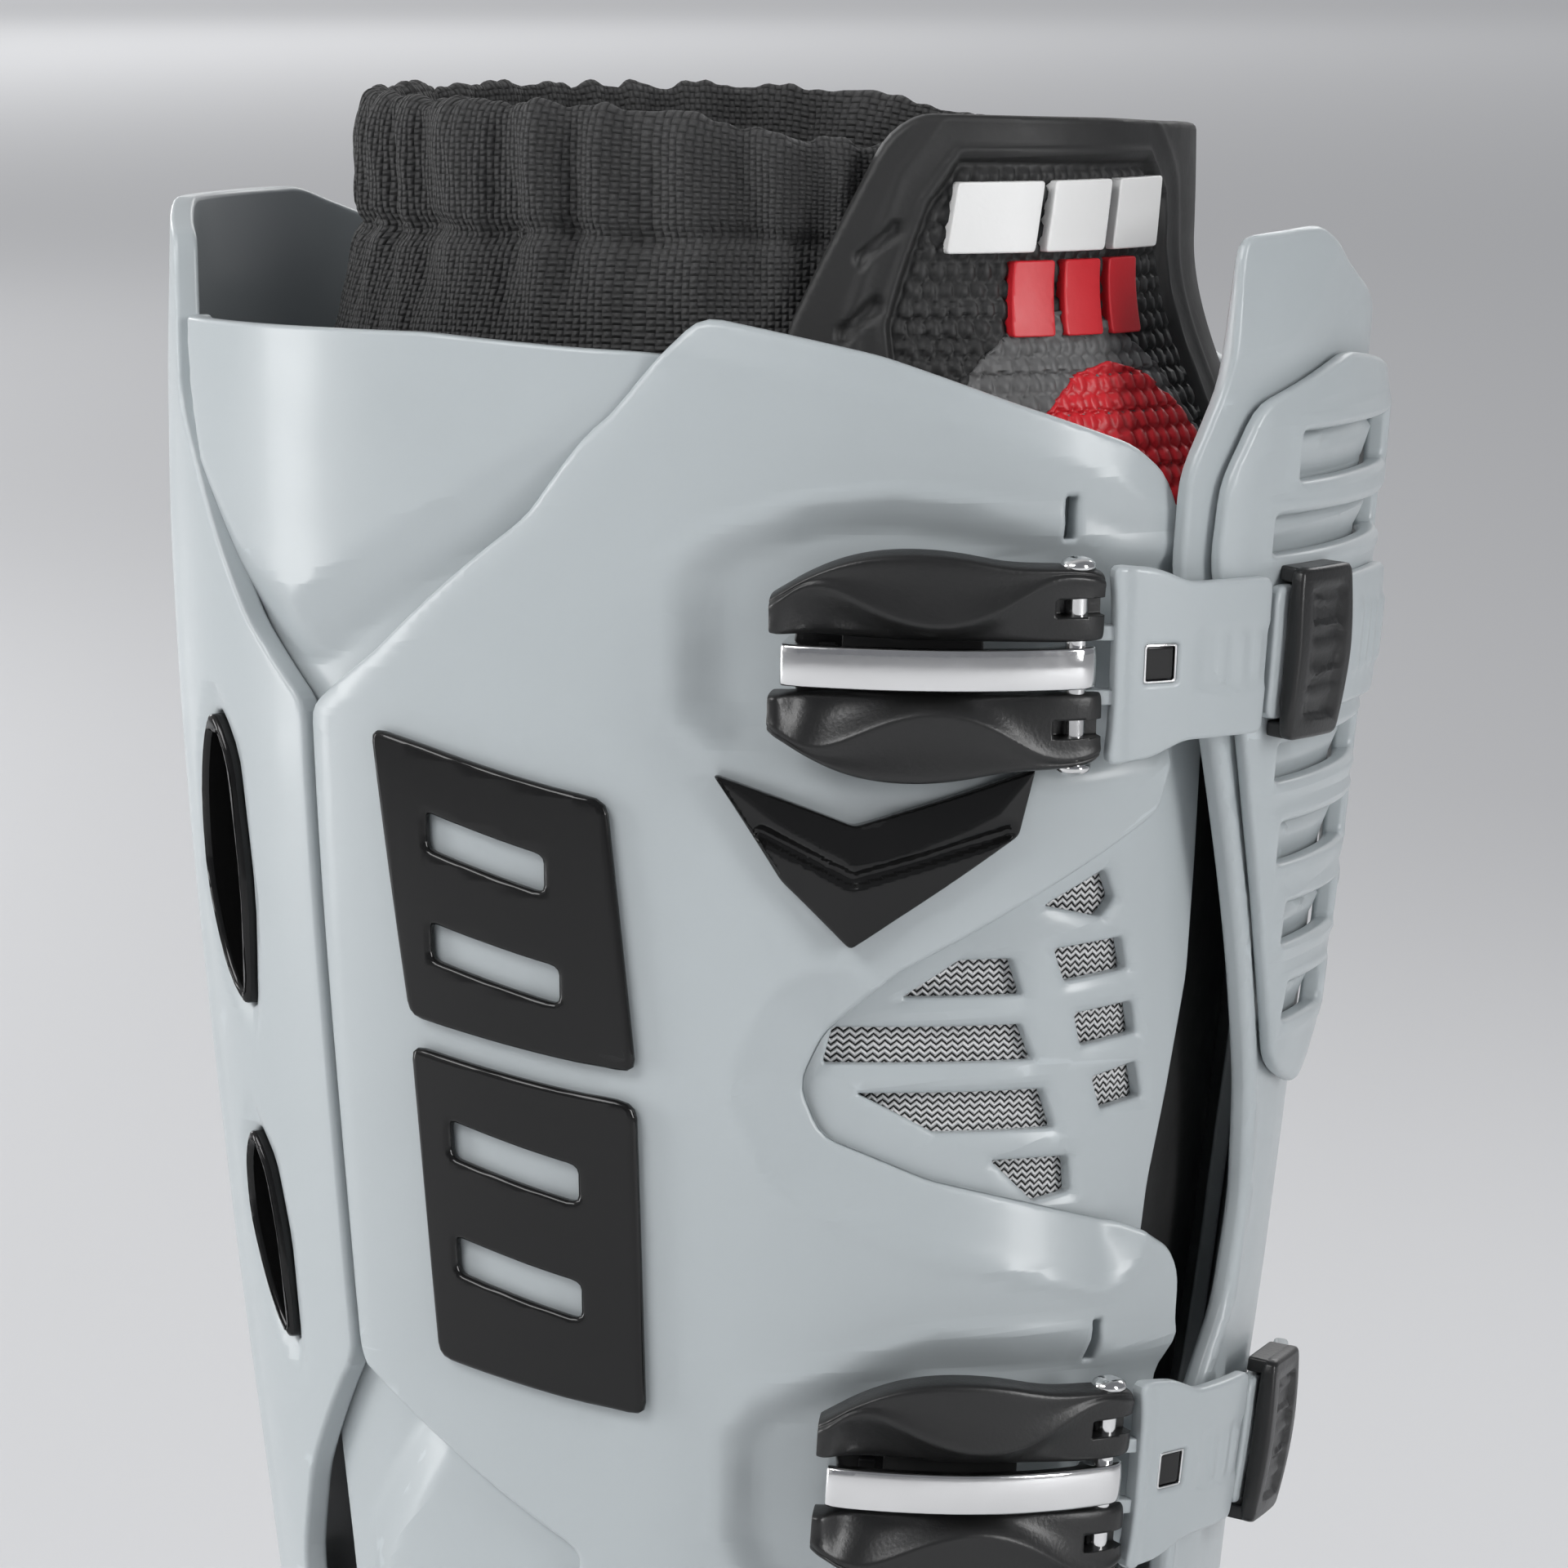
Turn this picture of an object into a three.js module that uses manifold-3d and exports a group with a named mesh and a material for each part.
// A motocross riding boot for the right foot, standing on its sole.
// Millimetres and degrees. +X points to the toe, +Y to the inner (medial) side, +Z up.
// The origin is on the ground, straight below the ankle hinge.
//
// Most pieces of a boot are sheets wrapped round the leg or the foot. Each is drawn flat, as an
// outline with a thickness, and then laid on one of two smooth forms: onLeg() and onFoot().
import * as THREE from "three";
import { mergeVertices } from "three/addons/utils/BufferGeometryUtils.js";
import Module from "manifold-3d";

const wasm = await Module();
wasm.setup();

// ---------- Driving dimensions ----------

const GAP = 0.5; // clearance between two layers that lie on each other
const SEAT = 0.3; // clearance of a piece that is screwed or bonded to its neighbour
const SIDE_GAP = 0.4; // clearance between pieces that turn side by side

const CALF_PLATE = 3.2; // wall of the outer calf plates and the spine
const SIDE_SHELL = 2.2; // wall of the shells under the calf plates
const MESH = 0.6;
const TONGUE = 3.2;
const LINER = 5;
const COLLAR = 4.5; // wall of the elastic collar
const SHIN = 2.4; // wall of the shin plate
const LADDER = 2.2; // thickness of the ribbed shin guard
const STRAP = 2;
const BADGE = 1.8;
const CHEVRON = 2.6;
const GRIP = 2; // burn guard on the inner side
const FOOT_WALL = 6; // the padded foot, from lining to outer skin
const TOE_GUARD = 1.6;
const FOOT_PLATE = 2.6; // toe cap, heel cup and instep plate

const LINER_FOOT = 186; // height where the leg lining ends, above the bellows
const BELLOWS_FOOT = 126;
const BELLOWS_TOP = 206;
const BELLOWS_DEEP = FOOT_WALL + 2; // how far the bellows' foot stands in, front and back
const BELLOWS_WIDE = FOOT_WALL + 0.5; // and side to side
const COLLAR_FOOT = 372; // height where the elastic collar starts
const COLLAR_HEIGHT = 48;
const TUCK_START = 352; // height where the soft parts start to stand in from the shell
const TUCK_END = 398;
const TUCK_DEEP = 15; // how far they stand in, front and back
const TUCK_WIDE = 5; // how far they stand in, side to side

const ANKLE_HEIGHT = 108; // ankle hinge above the ground
const ARM_RADIUS = 18; // round end of the calf plate's arm at the ankle
const PIVOT_RADIUS = 5; // shank of the ankle bolt
const PIVOT_HEAD = 9;
const PIVOT_HEAD_THICK = 2.6;

const OUTSOLE = 8;
const CHASSIS = 4.4; // hard frame between outsole and foot
const INSERT = 5; // thickness of the replaceable sole insert
const FOOTBED = 4;

// Buckle, measured along the strap (p), across it (q) and out of the surface (w).
const PIN_RADIUS = 1.5;
const PIN_PLAY = 0.3; // radial clearance round the pin
const KNUCKLE = 3.2; // from the pin to the end of the lever
const LEVER_LENGTH = 40; // from the pin to the finger tips
const LEVER_BELOW = 3.3; // lever underside below the pin
const LEVER_ABOVE = 2.9; // lever top above the pin
const LEVER_HALF = 15.5;
const WEB = 1.2; // plate that joins the two halves of the lever
const HOOK_HALF = 2.1; // half the width of the steel hook
const HOOK_BAR = 2; // thickness of the hook
const HOOK_EYE = PIN_RADIUS + 1.3; // half the height of its eye round the pin
const HOOK_SINK = 0.3; // its top below the lever's top
const HOOK_REACH = LEVER_LENGTH - 3; // from the pin to the back of the hook's tip
const HOOK_TIP = 1.6;
const HOOK_DROP = 5; // hook tip below the pin
const TAB = 2.3; // width of each strap tab at the pin
const TAB_EYE = PIN_RADIUS + 1.3; // half the height of a tab round the pin
const PIN_HALF = 14.6; // half the pin's length
const STRAP_HALF = 13; // half the strap's width beside the buckle
const STRAP_NECK = 10.5; // half its width further on
const STRAP_START = 5; // from the pin to the strap's full width
const CATCH_FLANGE = 1.2;
const CATCH_RIDGE = 2.4; // width of the ridge that the hook pulls on
const CATCH_PLAY = 2.4; // free travel between hook and ridge
const CATCH_BITE = 0.6; // how deep the hook sits behind the ridge
const LATCH_LENGTH = 12;
const LATCH_ROOF = 2;
const LATCH_LEG = 2.2;
const STRAP_FREE = 25; // length of the strap that swings
const HINGE_SPACE = 0.9; // space between the strap and its fixed tail

// ---------- Levels out of the surface; 0 is the outer face of the calf plates ----------

const PLATE_IN = -CALF_PLATE;
const SHELL_OUT = PLATE_IN - GAP;
const SHELL_IN = SHELL_OUT - SIDE_SHELL;
const MESH_OUT = SHELL_IN - GAP;
const TONGUE_OUT = MESH_OUT - MESH - GAP;
const TONGUE_IN = TONGUE_OUT - TONGUE;
const LINER_OUT = TONGUE_IN - GAP;
const SHIN_IN = GAP;
const SHIN_OUT = SHIN_IN + SHIN;
const LADDER_IN = SHIN_OUT + GAP;
const LADDER_OUT = LADDER_IN + LADDER;
const FOOT_PLATE_IN = 1.8 * GAP; // more, since the foot curves both ways
const FOOT_PLATE_OUT = FOOT_PLATE_IN + FOOT_PLATE;
const SOLE_TOP = OUTSOLE + SEAT + CHASSIS; // top of the chassis

// The leg at several heights: the back, the front and half the width of the outer face.
const LEG = [
  { at: 84, back: -60, front: 56, half: 55 },
  { at: 110, back: -60, front: 56, half: 54.5 },
  { at: 150, back: -61, front: 57, half: 52 },
  { at: 207, back: -68, front: 61, half: 51 },
  { at: 260, back: -75, front: 68, half: 54 },
  { at: 320, back: -81, front: 75, half: 58 },
  { at: 370, back: -83.5, front: 80, half: 60 },
  { at: 400, back: -83, front: 82, half: 60.5 },
  { at: 440, back: -82, front: 82, half: 60 },
];
const ROUND_SIDES = 30; // sides of a full sleeve
const LEG_ROUNDNESS = 2.35; // 2 is an ellipse, more is squarer

// The foot as sections that fan from the toe, round the instep, up to the ankle. Each runs from a
// low point (lowX, lowZ) to a high point (highX, highZ), with heights above the chassis; half is
// half its width, middle its offset to the inner side, and nose how much of an offset goes forward.
const FOOT = [
  { at: 0, lowX: 227, lowZ: 6.3, highX: 226, highZ: 13.3, half: 12, middle: 8, nose: 1 },
  { at: 1, lowX: 219, lowZ: 1.3, highX: 213, highZ: 33.3, half: 35, middle: 6, nose: 0.8 },
  { at: 2, lowX: 200, lowZ: 0.9, highX: 191, highZ: 48.3, half: 47, middle: 3, nose: 0.3 },
  { at: 3, lowX: 163, lowZ: 0.9, highX: 158, highZ: 59.3, half: 54, middle: 0, nose: 0 },
  { at: 4, lowX: 120, lowZ: 0.9, highX: 120, highZ: 73.3, half: 54, middle: -2, nose: 0 },
  { at: 5, lowX: 76, lowZ: 0.9, highX: 86, highZ: 91.3, half: 49, middle: -1, nose: 0 },
  { at: 6, lowX: 32, lowZ: 0.9, highX: 66, highZ: 108.3, half: 46, middle: 0, nose: 0 },
  { at: 7, lowX: -14, lowZ: 0.9, highX: 58, highZ: 117.3, half: 45.5, middle: 0, nose: 0 },
  { at: 8, lowX: -58, lowZ: 5.3, highX: 55, highZ: 122.3, half: 46.5, middle: 0, nose: 0 },
  { at: 9, lowX: -75, lowZ: 43.3, highX: 53, highZ: 125.3, half: 47, middle: 0, nose: 0 },
  { at: 10, lowX: -67, lowZ: 87.3, highX: 52, highZ: 127.3, half: 47.5, middle: 0, nose: 0 },
  { at: 11, lowX: -60, lowZ: 123.3, highX: 51.5, highZ: 129.3, half: 47.5, middle: 0, nose: 0 },
];
const FOOT_ROUNDNESS = 2.4;
const SOLE_ROUNDNESS = 5; // the same for the half towards the sole

const everyLine = (step, from, to) =>
  Array.from({ length: Math.floor((to - from) / step) + 1 }, (_, i) => from + i * step);

// Where wrapped pieces bend: round the form, up the leg, along the foot and along a strap.
const ROUND_BENDS = everyLine(360 / ROUND_SIDES, -360, 720);
const FOOT_BENDS = everyLine(1, 0, 11);
const STRAP_BENDS = everyLine(12, -120, 60);
const LEG_BENDS = [150, 180, 210, 240, 300, 360, 375, 390, 405];
const BELLOWS_BENDS = [140, 155, 180];

// ---------- Forms ----------

// A value of a table between its rows, on a smooth curve through them.
function smooth(table, key, at) {
  const last = table.length - 1;
  let i = 0;
  while (i < last - 1 && table[i + 1].at < at) i += 1;
  const slope = (j) => {
    const a = table[Math.max(j - 1, 0)];
    const b = table[Math.min(j + 1, last)];
    return (b[key] - a[key]) / (b.at - a.at);
  };
  const span = table[i + 1].at - table[i].at;
  const t = THREE.MathUtils.clamp((at - table[i].at) / span, 0, 1);
  const t2 = t * t;
  const t3 = t2 * t;
  return (
    (2 * t3 - 3 * t2 + 1) * table[i][key] +
    (t3 - 2 * t2 + t) * span * slope(i) +
    (3 * t2 - 2 * t3) * table[i + 1][key] +
    (t3 - t2) * span * slope(i + 1)
  );
}

// The direction at an angle on a squared circle: 0 is the front, -90 the outer side of the leg.
function squared(angle, roundness) {
  const a = THREE.MathUtils.degToRad(angle);
  const power = (x) => Math.sign(x) * Math.abs(x) ** (2 / roundness);
  return [power(Math.cos(a)), power(Math.sin(a))];
}

// The point at an angle round the leg, at height z, `out` above the calf plates' outer face.
function onLeg(angle, z, out, deep = 0, wide = 0) {
  const back = smooth(LEG, "back", z);
  const front = smooth(LEG, "front", z);
  const [x, y] = squared(angle, LEG_ROUNDNESS);
  return new THREE.Vector3(
    (front + back) / 2 + ((front - back) / 2 + out - deep) * x,
    (smooth(LEG, "half", z) + out - wide) * y,
    z,
  );
}

// The same for the soft parts, which stand in from the shell near the top of the boot.
function onCollar(angle, z, out) {
  const tuck = THREE.MathUtils.smoothstep(z, TUCK_START, TUCK_END);
  return onLeg(angle, z, out, TUCK_DEEP * tuck, TUCK_WIDE * tuck);
}

// The same for the bellows, which narrows downwards into the foot.
function onBellows(angle, z, out) {
  const narrow = 1 - THREE.MathUtils.smoothstep(z, BELLOWS_FOOT, LINER_FOOT - 16);
  return onLeg(angle, z, out, BELLOWS_DEEP * narrow, BELLOWS_WIDE * narrow);
}

// The point at an angle round the foot, on section `at`, `out` above the foot's skin.
function onFoot(angle, at, out) {
  const low = new THREE.Vector3(smooth(FOOT, "lowX", at), 0, smooth(FOOT, "lowZ", at));
  const high = new THREE.Vector3(smooth(FOOT, "highX", at), 0, smooth(FOOT, "highZ", at));
  const up = high.clone().sub(low);
  const reach = up.length() / 2;
  const down = Math.cos(THREE.MathUtils.degToRad(angle)) < 0;
  const [x, y] = squared(angle, down ? SOLE_ROUNDNESS : FOOT_ROUNDNESS);
  const point = low.add(high).multiplyScalar(0.5);
  point.addScaledVector(up.normalize(), (reach + out) * x);
  point.y += smooth(FOOT, "middle", at) + (smooth(FOOT, "half", at) + out) * y;
  point.x += out * smooth(FOOT, "nose", at);
  point.z += SOLE_TOP;
  return point;
}

// The angle of the point on the leg's outer side that is x in front of the ankle, at height z.
function angleAtX(x, z) {
  const back = smooth(LEG, "back", z);
  const front = smooth(LEG, "front", z);
  const share = (x - (front + back) / 2) / ((front - back) / 2);
  const cosine = Math.sign(share) * Math.abs(share) ** (LEG_ROUNDNESS / 2);
  return -THREE.MathUtils.radToDeg(Math.acos(cosine));
}

// The angle that lies p along the surface, towards the back, from a starting angle.
function angleAlong(place, angle, at, level, p) {
  const step = 0.5;
  let turned = angle;
  let left = p;
  while (Math.abs(left) > 1e-9) {
    const here = place(turned, at, level);
    const rate = place(turned - step, at, level).distanceTo(here) / step;
    const move = THREE.MathUtils.clamp(left, -2, 2);
    turned -= move / rate;
    left -= move;
  }
  return turned;
}

// Coordinates for a buckle: p runs along the strap towards the back, q straight across it and
// w square out of it, measured from the strap's own level. Past the pin, where the lever lies,
// the path keeps to one plane, so that lever and hook can turn about the pin.
function strapFrame(place, angle, at, level) {
  const pin = place(angle, at, level);
  const squareTo = (along, ahead, outward) => {
    const out = ahead.clone().cross(along).normalize();
    if (out.dot(outward) < 0) out.negate();
    const across = out.clone().cross(along).normalize();
    if (across.dot(ahead) < 0) across.negate();
    return { out, across };
  };
  const pathAt = (turned) => {
    const base = place(turned, at, level);
    const along = place(turned - 0.5, at, level).sub(place(turned + 0.5, at, level)).normalize();
    const ahead = place(turned, at + 0.1, level).sub(base);
    return { base, along, ahead, outward: place(turned, at, level + 1).sub(base) };
  };
  const start = pathAt(angle);
  const axis = squareTo(start.along, start.ahead, start.outward).across;
  const drift = (p) => {
    if (p <= 0) return 0;
    return place(angleAlong(place, angle, at, level, p), at, level).sub(pin).dot(axis);
  };
  const frame = (p, q, w) => {
    const { base, along, ahead, outward } = pathAt(angleAlong(place, angle, at, level, p));
    if (p > 0) {
      base.addScaledVector(axis, -drift(p));
      along.addScaledVector(axis, -along.dot(axis)).normalize();
      ahead.copy(axis);
    }
    const { out, across } = squareTo(along, ahead, outward);
    return base.addScaledVector(across, q).addScaledVector(out, w - level);
  };
  // The same coordinates laid down on the surface, and its rate from q to the form's own height.
  const rate = place(angle, at + 0.01, level).distanceTo(place(angle, at - 0.01, level)) / 0.02;
  const height = (p, q) => at + (q - drift(p)) / rate;
  const onSurface = (p, q, w) => {
    return place(angleAlong(place, angle, at, level, p), height(p, q), w);
  };
  return { frame, onSurface, height };
}

// ---------- Geometry helpers ----------

// Cuts the triangles of a flat drawing along lines, so that it can bend there.
function cutAlong(triangles, axis, lines) {
  const near = 0.04;
  const crossing = (a, b, line) => {
    const [from, to] = a[axis] < b[axis] ? [a, b] : [b, a];
    const t = (line - from[axis]) / (to[axis] - from[axis]);
    return from.map((value, i) => (i === axis ? line : value + (to[i] - value) * t));
  };
  const clip = (polygon, line, side) => {
    const kept = [];
    polygon.forEach((a, i) => {
      const b = polygon[(i + 1) % polygon.length];
      const da = side * (a[axis] - line);
      const db = side * (b[axis] - line);
      if (da > -near) kept.push(a);
      if ((da > near && db < -near) || (da < -near && db > near)) kept.push(crossing(a, b, line));
    });
    return kept;
  };
  const made = [];
  for (const triangle of triangles) {
    const values = triangle.map((corner) => corner[axis]);
    const inside = (line) => line > Math.min(...values) + near && line < Math.max(...values) - near;
    const crossed = lines.filter(inside);
    for (let cell = 0; cell <= crossed.length; cell += 1) {
      let polygon = triangle;
      if (cell > 0) polygon = clip(polygon, crossed[cell - 1], 1);
      if (cell < crossed.length) polygon = clip(polygon, crossed[cell], -1);
      for (let i = 2; i < polygon.length; i += 1) {
        made.push([polygon[0], polygon[i - 1], polygon[i]]);
      }
    }
  }
  return made;
}

// A closed geometry from loose triangles, turned to face outwards.
function closed(triangles) {
  const geometry = new THREE.BufferGeometry();
  const flat = triangles.flat(2);
  geometry.setAttribute("position", new THREE.Float32BufferAttribute(flat, 3));
  const merged = mergeVertices(geometry, 2e-3);
  const p = merged.attributes.position;
  const index = [];
  const corner = [0, 1, 2].map(() => new THREE.Vector3());
  let volume = 0;
  for (let i = 0; i < merged.index.count; i += 3) {
    const [a, b, c] = [0, 1, 2].map((k) => merged.index.getX(i + k));
    if (a === b || b === c || a === c) continue;
    [a, b, c].forEach((v, k) => corner[k].fromBufferAttribute(p, v));
    volume += corner[0].dot(corner[1].clone().cross(corner[2]));
    index.push(a, b, c);
  }
  if (volume < 0) index.reverse();
  merged.setIndex(index);
  return merged;
}

// The triangles of an outline drawn in (u, v), thickened from one level to another.
function drawn(outline, low, high, holes = []) {
  const points = outline.map(([u, v]) => new THREE.Vector2(u, v));
  if (THREE.ShapeUtils.isClockWise(points)) points.reverse();
  const shape = new THREE.Shape(points);
  for (const hole of holes) {
    shape.holes.push(new THREE.Path(hole.map(([u, v]) => new THREE.Vector2(u, v))));
  }
  const solid = new THREE.ExtrudeGeometry(shape, { depth: high - low, bevelEnabled: false });
  const p = (solid.index ? solid.toNonIndexed() : solid).attributes.position;
  const triangles = [];
  for (let i = 0; i < p.count; i += 3) {
    triangles.push([0, 1, 2].map((k) => [p.getX(i + k), p.getY(i + k), p.getZ(i + k) + low]));
  }
  return triangles;
}

// A sheet: an outline wrapped on a form, which bends along the lines us and vs.
function sheet(place, outline, low, high, { holes, us = ROUND_BENDS, vs = LEG_BENDS } = {}) {
  const triangles = cutAlong(cutAlong(drawn(outline, low, high, holes), 0, us), 1, vs);
  return closed(triangles.map((t) => t.map(([u, v, w]) => place(u, v, w).toArray())));
}

// A slab seen from the side: an outline in (p, w) on a frame, as wide as from q0 to q1.
function slab(frame, outline, q0, q1, hole) {
  const triangles = cutAlong(drawn(outline, q0, q1, hole ? [hole] : []), 0, STRAP_BENDS);
  return closed(triangles.map((t) => t.map(([p, w, q]) => frame(p, q, w).toArray())));
}

// A tube round a form through rows of [at, out]; an end row of [at, out, true] closes to a point.
function sleeve(place, rows, sides = ROUND_SIDES) {
  const point = ([at, out, end], k) =>
    end ? place(0, at, out).lerp(place(180, at, out), 0.5) : place((k * 360) / sides, at, out);
  const triangles = [];
  for (let r = 1; r < rows.length; r += 1) {
    for (let k = 0; k < sides; k += 1) {
      const [a, b, c, d] = [
        point(rows[r - 1], k),
        point(rows[r - 1], (k + 1) % sides),
        point(rows[r], (k + 1) % sides),
        point(rows[r], k),
      ].map((v) => v.toArray());
      triangles.push([a, b, c], [a, c, d]);
    }
  }
  return closed(triangles);
}

// Rows of a tube wall that goes up outside and down inside, closed into a ring.
function wall(from, to, outer, inner, bends) {
  const heights = [from, ...bends.filter((at) => at > from + 5 && at < to - 5), to];
  const rows = heights.map((at) => [at, outer]);
  return [...rows, ...heights.map((at) => [at, inner]).reverse(), rows[0]];
}

function asSolid(geometry) {
  const bare = new THREE.BufferGeometry();
  bare.setAttribute("position", geometry.attributes.position);
  if (geometry.index) bare.setIndex(geometry.index);
  const merged = mergeVertices(bare.index ? bare.toNonIndexed() : bare, 1e-3);
  return new wasm.Manifold(
    new wasm.Mesh({
      numProp: 3,
      vertProperties: merged.attributes.position.array,
      triVerts: new Uint32Array(merged.index.array),
    }),
  );
}

function asGeometry(solid) {
  const mesh = solid.getMesh();
  const geometry = new THREE.BufferGeometry();
  geometry.setAttribute("position", new THREE.Float32BufferAttribute(mesh.vertProperties, 3));
  geometry.setIndex(new THREE.Uint32BufferAttribute(mesh.triVerts, 1));
  return geometry;
}

function joined(...geometries) {
  return asGeometry(geometries.map(asSolid).reduce((a, b) => a.add(b)));
}

function without(geometry, ...cutters) {
  return asGeometry(cutters.map(asSolid).reduce((a, b) => a.subtract(b), asSolid(geometry)));
}

// A round bar between two points.
function bar(from, to, radius, sides = 12) {
  const along = to.clone().sub(from);
  const rod = new THREE.CylinderGeometry(radius, radius, along.length(), sides);
  rod.applyQuaternion(
    new THREE.Quaternion().setFromUnitVectors(new THREE.Vector3(0, 1, 0), along.clone().normalize()),
  );
  const middle = from.clone().add(to).multiplyScalar(0.5);
  return rod.translate(middle.x, middle.y, middle.z);
}

const box = (u0, u1, v0, v1) => [
  [u0, v0],
  [u1, v0],
  [u1, v1],
  [u0, v1],
];
const mirrored = (outline) => outline.map(([angle, at]) => [-angle, at]);

// Points of an outline moved towards its middle; a degree round the leg is about 1.3 mm.
function shrunk(outline, distance) {
  const degree = 1.3;
  const n = outline.length;
  const middle = [0, 1].map((k) => outline.reduce((sum, point) => sum + point[k], 0) / n);
  return outline.map(([u, v]) => {
    const du = (u - middle[0]) * degree;
    const dv = v - middle[1];
    const left = 1 - distance / Math.hypot(du, dv);
    return [middle[0] + (du * left) / degree, middle[1] + dv * left];
  });
}

// ---------- Finishes ----------

const finish = (color, roughness, metalness = 0) =>
  new THREE.MeshStandardMaterial({ color, roughness, metalness });
const greyPlastic = finish(0xb4bdc1, 0.38);
const blackPlastic = finish(0x101112, 0.4);
const blackRubber = finish(0x1a1b1c, 0.75);
const blackFabric = finish(0x232426, 0.95);
const greyMesh = finish(0xb9bcbd, 0.7);
const redRubber = finish(0xc4161f, 0.55);
const steel = finish(0xd5d8da, 0.15, 1);
const soleRubber = finish(0x17181a, 0.85);

const boot = new THREE.Group();
const lower = new THREE.Group();
const upper = new THREE.Group();
boot.add(lower, upper);

function piece(group, name, geometry, material) {
  const mesh = new THREE.Mesh(geometry, material);
  mesh.name = name;
  mesh.geometry.computeVertexNormals();
  group.add(mesh);
}

// ---------- Lower boot ----------

const SOLE_OUTLINE = [
  [-84, 0], [-78, -24], [-60, -37], [-20, -42], [30, -45], [80, -53], [125, -60], [165, -58],
  [198, -47], [221, -28], [232, -4], [233, 14], [225, 31], [203, 46], [168, 54], [125, 53],
  [80, 47], [30, 41], [-20, 39], [-60, 35], [-78, 22],
];
const INSERT_OUTLINE = [
  [62, -36], [105, -42], [150, -42], [185, -32], [200, -12], [202, 14], [188, 30], [150, 38],
  [105, 36], [62, 30],
];

const scaled = (outline, sx, sy, cx = 74) =>
  outline.map(([x, y]) => [cx + (x - cx) * sx, y * sy]);

function flat(outline, low, high) {
  return closed(drawn(outline, low, high));
}

function buildSole() {
  const pocket = flat(INSERT_OUTLINE, -1, INSERT + SEAT);
  piece(lower, "outsole", without(flat(SOLE_OUTLINE, 0, OUTSOLE), pocket), soleRubber);
  piece(lower, "sole_insert", flat(scaled(INSERT_OUTLINE, 0.99, 0.98, 130), 0, INSERT), blackRubber);
  const chassis = flat(scaled(SOLE_OUTLINE, 0.985, 0.97), OUTSOLE + SEAT, SOLE_TOP);
  piece(lower, "sole_chassis", chassis, greyPlastic);
  const bed = [[144, 2], [144, 8], [216, 8], [216, 2]];
  const bedTop = -FOOT_WALL - 1.6 * GAP;
  const footbed = sheet(onFoot, bed, bedTop - FOOTBED, bedTop, { vs: FOOT_BENDS });
  piece(lower, "footbed", footbed, blackFabric);
}

function buildFoot() {
  const outer = [1, 2, 3, 4, 5, 6, 7, 8, 9, 10, 11].map((at) => [at, 0]);
  const inner = [11, 10, 9, 8, 7, 6, 5, 4, 3, 2, 1.4].map((at) => [at, -FOOT_WALL]);
  const rows = [[0, 0, true], [0, 0], ...outer, ...inner, [1.4, -FOOT_WALL, true]];
  piece(lower, "foot_shell", sleeve(onFoot, rows), greyPlastic);

  const cap = [
    [-100, 0], [-104, 1], [-104, 3], [-100, 3.5], [-60, 3.7], [-25, 3.3], [0, 3.2], [25, 3.3],
    [60, 3.7], [100, 3.5], [104, 3], [104, 1], [100, 0],
  ];
  const onFootBends = { vs: FOOT_BENDS };
  piece(lower, "toe_cap", sheet(onFoot, cap, FOOT_PLATE_IN, FOOT_PLATE_OUT, onFootBends), greyPlastic);
  const tip = [[-84, 0], [-78, 1], [78, 1], [84, 0]];
  const tipIn = FOOT_PLATE_OUT + 1.6 * GAP;
  const guardTip = sheet(onFoot, tip, tipIn, tipIn + TOE_GUARD, onFootBends);
  piece(lower, "toe_guard", guardTip, blackPlastic);

  const cup = [
    [122, 7.4], [112, 8], [104, 8.6], [106, 9.2], [124, 9.7], [150, 10.3], [180, 10.5],
    [210, 10.3], [236, 9.7], [254, 9.2], [256, 8.6], [248, 8], [238, 7.4], [212, 8.6],
    [180, 8.9], [148, 8.6],
  ];
  const heel = sheet(onFoot, cup, FOOT_PLATE_IN, FOOT_PLATE_OUT, onFootBends);
  piece(lower, "heel_cup", heel, greyPlastic);

  const instep = [
    [-32, 3.9], [-36, 4.6], [-35, 5.3], [-32, 6], [-36, 6.8], [-30, 7.5], [-12, 8], [12, 8],
    [30, 7.5], [36, 6.8], [32, 6], [35, 5.3], [36, 4.6], [32, 3.9], [15, 3.75], [-15, 3.75],
  ];
  const guard = sheet(onFoot, instep, FOOT_PLATE_IN, FOOT_PLATE_OUT, onFootBends);
  piece(lower, "instep_plate", guard, greyPlastic);

  const folds = wall(BELLOWS_FOOT, BELLOWS_TOP, TONGUE_OUT + MESH, TONGUE_IN + GAP, BELLOWS_BENDS);
  piece(lower, "ankle_bellows", sleeve(onBellows, folds, ROUND_SIDES), blackRubber);
}

// The ankle bolts: a shank through the calf plate's arm, with a head outside.
function buildAnkleBolt(side, name) {
  const face = smooth(LEG, "half", ANKLE_HEIGHT);
  const at = (y) => new THREE.Vector3(0, side * y, ANKLE_HEIGHT);
  const skin = smooth(FOOT, "half", 10) + SEAT;
  const shank = bar(at(skin), at(face + GAP + 1), PIVOT_RADIUS, 16);
  const head = bar(at(face + GAP), at(face + GAP + PIVOT_HEAD_THICK), PIVOT_HEAD, 20);
  piece(lower, name, joined(shank, head), steel);
}

// ---------- Leg ----------

const ARM_POINTS = 7; // points on the round end of an arm

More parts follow.
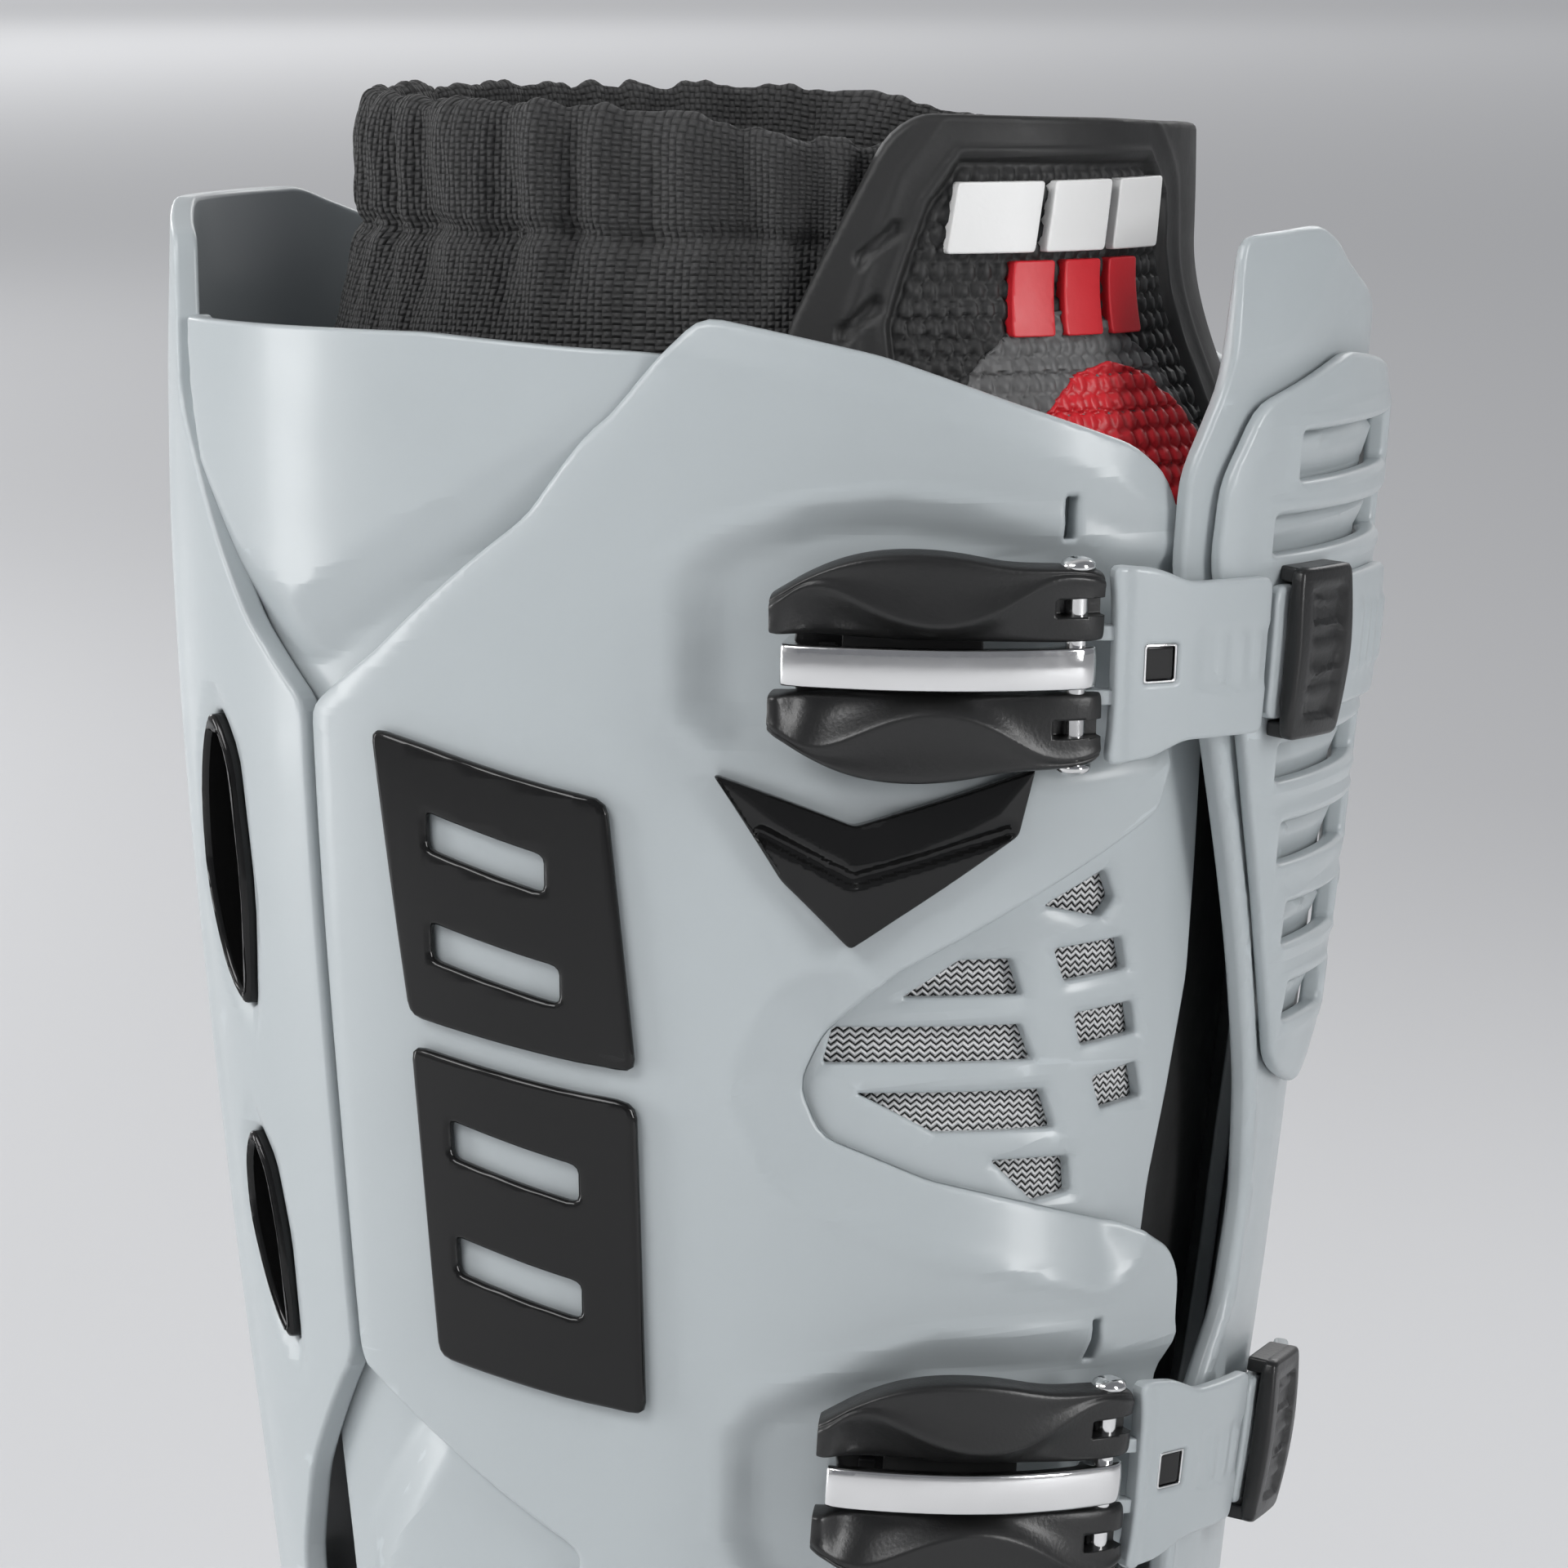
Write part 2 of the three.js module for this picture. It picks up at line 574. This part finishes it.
// The calf plate's arm down to the ankle, from its front edge, round the bolt, to its back edge.
function armOutline() {
  const arm = [[angleAtX(20, 165), 165], [angleAtX(18.5, 135), 135]];
  for (let i = 0; i < ARM_POINTS; i += 1) {
    const turn = Math.PI * (i / (ARM_POINTS - 1));
    const z = ANKLE_HEIGHT - ARM_RADIUS * Math.sin(turn);
    arm.push([angleAtX(ARM_RADIUS * Math.cos(turn), z), z]);
  }
  return [...arm, [angleAtX(-18.5, 135), 135], [angleAtX(-20, 165), 165]];
}

const OUTER_PLATE = [
  [-83, 390], [-66, 385], [-52, 379], [-36, 373], [-31, 369], [-29.5, 364], [-28, 345],
  [-27, 333], [-28, 324], [-46, 313], [-62, 303], [-69, 295], [-71.5, 288], [-69, 281],
  [-56, 275], [-25, 267], [-17, 263], [-14, 259], [-13, 250], [-14, 232], [-19, 212], [-32, 195],
  [-52, 182], ...armOutline(), [-93, 190], [-94, 208], [-92, 222], [-107, 235], [-120, 246],
  [-120, 336], [-111, 344], [-95, 363], [-87, 383],
];
const INNER_PLATE = [
  [83, 390], [66, 385], [52, 379], [36, 373], [29.5, 364], [27, 333], [24, 300], [18, 263],
  [14, 232], [19, 212], [32, 195], [52, 182], ...mirrored(armOutline()), [93, 190], [94, 208],
  [92, 222], [107, 235], [120, 246], [120, 336], [111, 344], [95, 363], [87, 383],
];
const SIDE_OUTLINE = [
  [-151, 387], [-105, 387], [-87, 385], [-60, 378], [-36, 368], [-20, 362], [-18, 340],
  [-16, 316], [-15, 300], [-17, 284], [-19, 272], [-20, 240], [-30, 215], [-50, 197],
  [-112, 197], [-131, 206], [-131, 343], [-151, 348],
];
// Windows of the grille: two columns of slots and small ones at the front edge.
const GRILLE = [
  [[-53, 304.5], [-46, 304.5], [-44, 299.5], [-60, 299.5]],
  [[-68, 295.5], [-44, 295.5], [-41.5, 290.5], [-69, 290.5]],
  [[-65, 286.5], [-40, 286.5], [-37.5, 281], [-55, 281]],
  [[-47, 277], [-35, 277], [-34, 272], [-40, 271]],
  [[-42, 311.5], [-33, 316], [-31, 312], [-33, 309.5]],
  [[-40, 305.5], [-29, 306.5], [-27.5, 302], [-38, 301]],
  [[-36, 296.5], [-26, 297.5], [-24.5, 293], [-34.5, 292]],
  [[-32, 287.5], [-24, 289], [-22, 284], [-30, 283]],
];
const MESH_OUTLINE = [[-72, 268], [-72, 300], [-45, 320], [-22, 322], [-20, 268]];
// Air slots of the spine; angles run on past 180 to the outer side.
const HIGH_SLOT = [
  [220, 335], [225, 328], [226.5, 308], [224, 291], [219, 296], [213, 309], [215, 325],
];
const LOW_SLOT = [
  [221, 276], [225, 271], [227, 260], [226.5, 244], [221.5, 251], [216.5, 263], [218, 272],
];
const innerSide = (outline) => outline.map(([angle, at]) => [360 - angle, at]);
const SPINE_EDGE = [
  [239.5, 246], [239.5, 336], [230, 347], [224, 357], [218, 368], [212.5, 376], [211, 386],
  [208, 398], [195, 402.5],
];
const SPINE_FOOT = [[205, 152], [216, 170], [220, 200], [221, 215], [227, 228]];

function buildLining() {
  const lining = wall(LINER_FOOT, COLLAR_FOOT - SEAT, LINER_OUT, LINER_OUT - LINER, LEG_BENDS);
  piece(upper, "leg_lining", sleeve(onCollar, lining), blackFabric);
  const outside = LINER_OUT - SEAT;
  const collar = wall(COLLAR_FOOT, COLLAR_FOOT + COLLAR_HEIGHT, outside, outside - COLLAR, LEG_BENDS);
  piece(upper, "elastic_collar", sleeve(onCollar, collar), blackFabric);
}

function buildTongue() {
  const outline = [
    [-74, 386], [-66, 402], [-60, 413], [-55, 416], [-20, 415], [20, 413], [34, 408], [42, 396],
    [45, 372], [42, 340], [36, 300], [30, 262], [24, 236], [-14, 236], [-14, 330], [-24, 350],
    [-50, 362], [-72, 370],
  ];
  piece(upper, "tongue", sheet(onCollar, outline, TONGUE_IN, TONGUE_OUT), blackRubber);
  const emblem = [[-56, 407], [-50, 409], [-24, 408], [-20, 402], [-20, 376], [-48, 378], [-57, 388]];
  const on = TONGUE_OUT + GAP;
  piece(upper, "tongue_emblem", sheet(onCollar, emblem, on, on + 1.2), redRubber);
}

function buildShells() {
  const boltHole = (side) =>
    bar(
      new THREE.Vector3(0, side * 40, ANKLE_HEIGHT),
      new THREE.Vector3(0, side * 70, ANKLE_HEIGHT),
      PIVOT_RADIUS + SIDE_GAP,
      16,
    );
  const outer = sheet(onLeg, OUTER_PLATE, PLATE_IN, 0);
  piece(upper, "calf_plate_outer", without(outer, boltHole(-1)), greyPlastic);
  const inner = sheet(onLeg, INNER_PLATE, PLATE_IN, 0);
  piece(upper, "calf_plate_inner", without(inner, boltHole(1)), greyPlastic);

  const grille = sheet(onLeg, SIDE_OUTLINE, SHELL_IN, SHELL_OUT, { holes: GRILLE });
  piece(upper, "side_shell_outer", grille, greyPlastic);
  const innerShell = sheet(onLeg, mirrored(SIDE_OUTLINE), SHELL_IN, SHELL_OUT);
  piece(upper, "side_shell_inner", innerShell, greyPlastic);
  piece(upper, "air_mesh", sheet(onLeg, MESH_OUTLINE, MESH_OUT - MESH, MESH_OUT), greyMesh);

  const spine = [
    ...SPINE_FOOT, ...SPINE_EDGE, ...innerSide(SPINE_EDGE).reverse(),
    ...innerSide(SPINE_FOOT).reverse(),
  ];
  const slots = [HIGH_SLOT, LOW_SLOT];
  const holes = [...slots, ...slots.map(innerSide)];
  piece(upper, "spine_plate", sheet(onLeg, spine, PLATE_IN, 0, { holes }), greyPlastic);
  buildAirDuct(slots, 208, "air_duct_outer");
  buildAirDuct(slots.map(innerSide), 132, "air_duct_inner");
}

// A black duct behind the spine with a rim that stands in each air slot.
function buildAirDuct(slots, start, name) {
  const rim = slots.map((slot) => shrunk(slot, SIDE_GAP));
  const mouth = slots.map((slot) => shrunk(slot, SIDE_GAP + 1.4));
  const flange = sheet(onLeg, box(start, start + 20, 238, 340), SHELL_IN, SHELL_OUT, {
    holes: mouth,
  });
  const rims = rim.map((outline, i) =>
    sheet(onLeg, outline, SHELL_IN, -0.4, { holes: [mouth[i]] }),
  );
  piece(upper, name, joined(flange, ...rims), blackPlastic);
}

function buildTrim() {
  const low = SEAT;
  const badges = {
    badge_upper: [[-110, 334], [-104, 332], [-89, 326], [-87, 289], [-107, 295]],
    badge_lower: [[-107, 291], [-87, 285], [-86.5, 242], [-106, 248]],
  };
  const windows = {
    badge_upper: [[[-104, 323], [-93, 318], [-93, 313], [-104, 318]],
      [[-104, 308], [-92, 303], [-92, 298], [-104, 303]]],
    badge_lower: [[[-103, 281], [-91, 276], [-91, 271], [-103, 276]],
      [[-103, 265], [-91, 260], [-91, 255], [-103, 260]]],
  };
  for (const [name, outline] of Object.entries(badges)) {
    const badge = sheet(onLeg, outline, low, low + BADGE, { holes: windows[name] });
    piece(upper, name, badge, blackPlastic);
  }
  const chevron = [[-80, 330], [-67, 323.5], [-48, 330], [-49, 322], [-67, 308], [-74, 317]];
  piece(upper, "chevron", sheet(onLeg, chevron, low, low + CHEVRON), blackPlastic);
  const grip = [
    [52, 214], [44, 250], [44, 330], [60, 346], [100, 346], [112, 330], [116, 262], [104, 244],
    [90, 226], [72, 208],
  ];
  piece(upper, "burn_guard", sheet(onLeg, grip, GAP, GAP + GRIP), blackRubber);
}

function buildShin() {
  const edge = [
    [-24, 400], [-26, 381], [-31, 369], [-31, 356], [-24, 334], [-20, 322], [-13, 302],
    [-7, 284], [-4, 268], [-5, 254], [-10, 244], [-14, 228], [-12, 208],
  ];
  const inner = [[20, 206], [34, 218], [40, 244], [40, 372], [34, 392], [24, 400]];
  const plate = sheet(onLeg, [...edge, ...inner], SHIN_IN, SHIN_OUT);
  piece(upper, "shin_plate", plate, greyPlastic);
  const guard = [
    [-22, 378], [-27, 368], [-27.5, 357], [-21, 336], [-17, 322], [-10.5, 302], [-5, 287],
    [3, 282], [11, 287], [16.5, 302], [22, 322], [25, 336], [27.5, 357], [25, 368], [16, 380],
    [-4, 384],
  ];
  const rungs = [
    [374, 367.5, -15, 14], [363, 358, -19, 20], [332, 327, -14, 16], [321, 315.5, -11.5, 13.5],
    [309.5, 304, -8, 11], [298, 293, -5, 8],
  ];
  const holes = rungs.map(([top, low, left, right]) => box(left, right, low, top));
  const ladder = sheet(onLeg, guard, LADDER_IN, LADDER_OUT, { holes });
  piece(upper, "shin_guard", ladder, greyPlastic);
}

// ---------- Buckles ----------

// Half a lever in (p, q), its lengths as shares of the lever's length.
const LOBE = [
  [-KNUCKLE / LEVER_LENGTH, 5.4], [-KNUCKLE / LEVER_LENGTH, LEVER_HALF - 4],
  [0.03, LEVER_HALF - 2.3], [0.2, LEVER_HALF - 1.9], [0.38, LEVER_HALF - 0.3],
  [0.55, LEVER_HALF], [0.73, LEVER_HALF - 0.9], [0.88, LEVER_HALF - 3.5],
  [0.96, LEVER_HALF - 6.5], [1, LEVER_HALF - 7.5], [1, 3.4], [0.9, 2.9], [0.18, 2.9], [0.15, 5.4],
].map(([share, q]) => [share * LEVER_LENGTH, q]);

// One buckle on one strap. The strap's underside is `under` above the form and its fixed tail
// stands on a plate whose face is at `seat`; the catch is screwed to the surface at level 0.
function buildBuckle(group, number, place, angle, at, under, seat, tailLength) {
  const half = STRAP / 2;
  const level = under + half; // the pin's level
  const { frame, onSurface, height } = strapFrame(place, angle, at, level);
  const bends = { us: STRAP_BENDS, vs: [] };
  const strip = (outline, low, high, holes) => sheet(frame, outline, low, high, { ...bends, holes });
  const add = (name, geometry, material) => piece(group, `${name}_${number}`, geometry, material);
  // A plate that bends with the form under it, from p0 to p1 and q wide each way.
  const onGrid = (p0, p1, q, from, to) => {
    const [front, back] = [p0, p1].map((p) => angleAlong(place, angle, at, level, p));
    const [low, high] = [-q, q].map((side) => height((p0 + p1) / 2, side));
    const vs = place === onLeg ? LEG_BENDS : FOOT_BENDS;
    return sheet(place, box(back, front, low, high), from, to, { vs });
  };

  const pinSides = 12;
  const across = (reach, radius) => bar(frame(0, -reach, level), frame(0, reach, level), radius, pinSides);
  const pinHole = across(20, PIN_RADIUS + PIN_PLAY);
  const pinRing = Array.from({ length: pinSides }, (_, i) => {
    const turn = (2 * Math.PI * i) / pinSides;
    const radius = PIN_RADIUS + PIN_PLAY;
    return [radius * Math.cos(turn), level + radius * Math.sin(turn)];
  });
  const low = level - LEVER_BELOW;
  const high = level + LEVER_ABOVE;
  const lobes = [LOBE, LOBE.map(([p, q]) => [p, -q])].map((lobe) => strip(lobe, low, high));
  const web = strip(box(0.3 * LEVER_LENGTH, 0.78 * LEVER_LENGTH, -4, 4), low, low + WEB);
  add("lever", without(joined(...lobes, web), pinHole), blackPlastic);

  const hookTop = high - HOOK_SINK;
  const barLow = hookTop - HOOK_BAR;
  const tipEnd = HOOK_REACH + HOOK_TIP;
  const tipLow = level - HOOK_DROP;
  const hookSide = [
    [-HOOK_EYE, level - HOOK_EYE], [HOOK_EYE, level - HOOK_EYE], [HOOK_EYE + 1, barLow],
    [HOOK_REACH, barLow], [HOOK_REACH, tipLow], [tipEnd, tipLow], [tipEnd, hookTop],
    [-1, hookTop], [-HOOK_EYE, level + HOOK_EYE / 2],
  ];
  add("hook", slab(frame, hookSide, -HOOK_HALF, HOOK_HALF, pinRing), steel);

  const tabEnd = -STRAP_START - 1;
  const tabSide = [
    [tabEnd, level - half + 0.2], [-2, level - TAB_EYE], [1, level - TAB_EYE],
    [TAB_EYE, level - 1], [TAB_EYE, level + 1], [1, level + TAB_EYE], [-2, level + TAB_EYE],
    [tabEnd, level + half - 0.2],
  ];
  const tabIn = HOOK_HALF + SIDE_GAP;
  const tabs = [-tabIn - TAB, tabIn].map((q) => slab(frame, tabSide, q, q + TAB, pinRing));
  const hinge = -STRAP_START - STRAP_FREE; // where the strap starts to swing
  const body = [
    [-STRAP_START, STRAP_HALF], [-STRAP_START, -STRAP_HALF], [-11, -12.6], [-16, -STRAP_NECK],
    [hinge, -STRAP_NECK], [hinge, STRAP_NECK], [-16, STRAP_NECK], [-11, 12.6],
  ];
  const window = box(-14, -9.5, -2.3, 2.3);
  add("strap", joined(strip(body, level - half, level + half, [window]), ...tabs), greyPlastic);
  add("pin", across(PIN_HALF, PIN_RADIUS), steel);

  const start = hinge - HINGE_SPACE;
  const tailHalf = STRAP_NECK - 1.5;
  const tail = box(start - tailLength, start, -tailHalf, tailHalf);
  const tailStrip = strip(tail, under, level + half);
  const foot = onGrid(start - tailLength + 2, start - 2, tailHalf - 3, seat, level);
  add("strap_tail", seat < under ? joined(tailStrip, foot) : tailStrip, greyPlastic);

  const legIn = tailHalf + SIDE_GAP;
  const roofLow = level + half + SIDE_GAP;
  const roofHigh = roofLow + LATCH_ROOF;
  const latchSide = [start - 2 - LATCH_LENGTH, start - 2];
  const roof = strip(box(...latchSide, -legIn - LATCH_LEG, legIn + LATCH_LEG), roofLow, roofHigh);
  const legs = [-legIn - LATCH_LEG, legIn].map((q) =>
    strip(box(...latchSide, q, q + LATCH_LEG), level - half, roofLow + 0.5),
  );
  add("latch", joined(roof, ...legs), blackPlastic);

  const ridgeTop = tipLow + CATCH_BITE;
  const ridgeBack = HOOK_REACH - CATCH_PLAY;
  const flange = onGrid(ridgeBack - 11, ridgeBack + 8, 9, GAP, GAP + CATCH_FLANGE);
  const ridgeBox = box(ridgeBack - CATCH_RIDGE, ridgeBack, -HOOK_HALF, HOOK_HALF);
  const ridge = sheet(onSurface, ridgeBox, SEAT + 0.5, ridgeTop, bends);
  add("catch", joined(flange, ridge), blackPlastic);
}

buildSole();
buildFoot();
buildAnkleBolt(-1, "ankle_bolt_outer");
buildAnkleBolt(1, "ankle_bolt_inner");
buildLining();
buildTongue();
buildShells();
buildTrim();
buildShin();
const LEG_STRAP = LADDER_OUT + GAP; // underside of the leg straps, over the shin guard
const FOOT_STRAP = LEVER_BELOW + 0.8 + FOOT_PLATE_OUT; // underside of the foot straps
buildBuckle(upper, 1, onLeg, -46, 345, LEG_STRAP, LEG_STRAP, 40);
buildBuckle(upper, 2, onLeg, -33, 234, LEG_STRAP, SHIN_OUT + GAP, 30);
buildBuckle(lower, 3, onFoot, -44, 6.55, FOOT_STRAP, FOOT_PLATE_OUT + 1.6 * GAP, 34);
buildBuckle(lower, 4, onFoot, -42, 4.55, FOOT_STRAP, FOOT_PLATE_OUT + 1.6 * GAP, 34);

export default boot;
